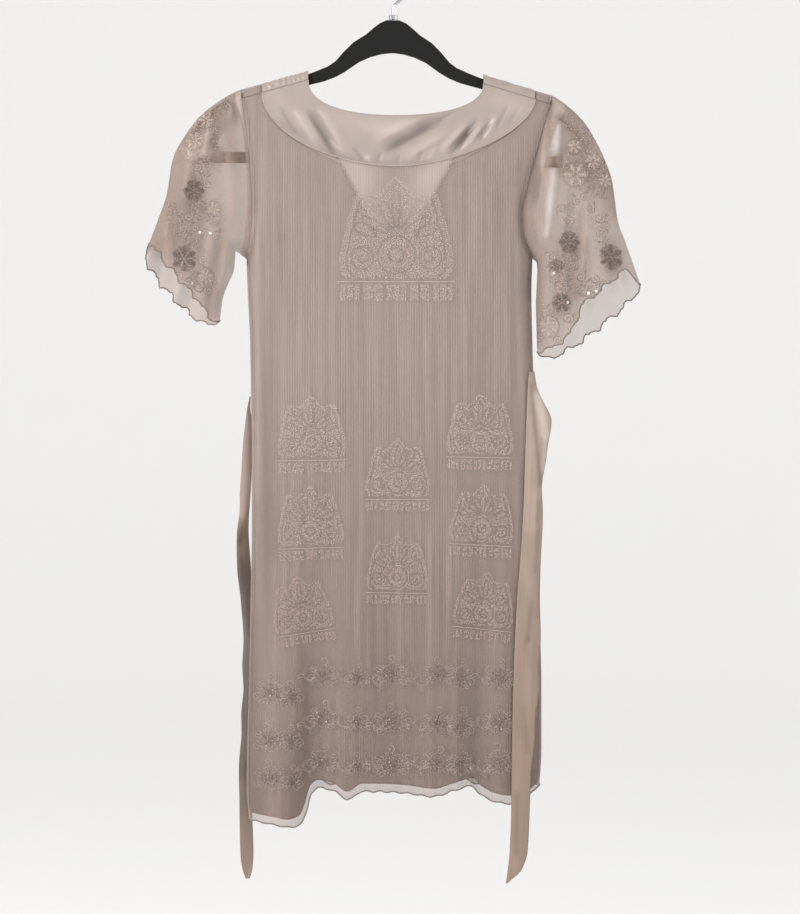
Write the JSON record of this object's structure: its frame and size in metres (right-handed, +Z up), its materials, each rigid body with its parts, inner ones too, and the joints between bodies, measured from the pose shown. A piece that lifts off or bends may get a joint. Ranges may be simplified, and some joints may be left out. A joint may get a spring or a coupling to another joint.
{
  "type": "silk dress on a hanger",
  "caption": "Short-sleeved silk chiffon dress with satin yoke, V-necked lining, sheer flared sleeves and two satin sash ties, hanging flat on a velvet hanger with a wire hook",
  "frame": {"origin": "the inside top of the hanger's hook, where a rail carries it", "axes": "+Z up, front of the dress towards -Y, +X to the right as the front is seen"},
  "size_m": [0.5229, 0.0711, 0.9729],
  "materials": {
    "chiffon": "crinkled silk chiffon over a lining, tone-on-tone embroidery",
    "sheer_chiffon": "sheer silk chiffon, embroidered",
    "satin": "silk satin with soft creases",
    "lining": "smooth silk lining",
    "sash_satin": "silk satin ribbon",
    "velvet": "black flocked velvet",
    "hook_wire": "polished wire"
  },
  "bodies": {
    "root": {"dress_front": "chiffon", "dress_back": "chiffon", "yoke_front": "satin", "yoke_back": "satin", "lining_front": "lining", "lining_back": "lining", "sleeve_left": "sheer_chiffon", "sleeve_right": "sheer_chiffon", "sash_right": "sash_satin", "sash_left": "sash_satin", "hanger_body": "velvet", "hanger_hook": "hook_wire", "hook_collar": "hook_wire"}
  },
  "joints": []
}
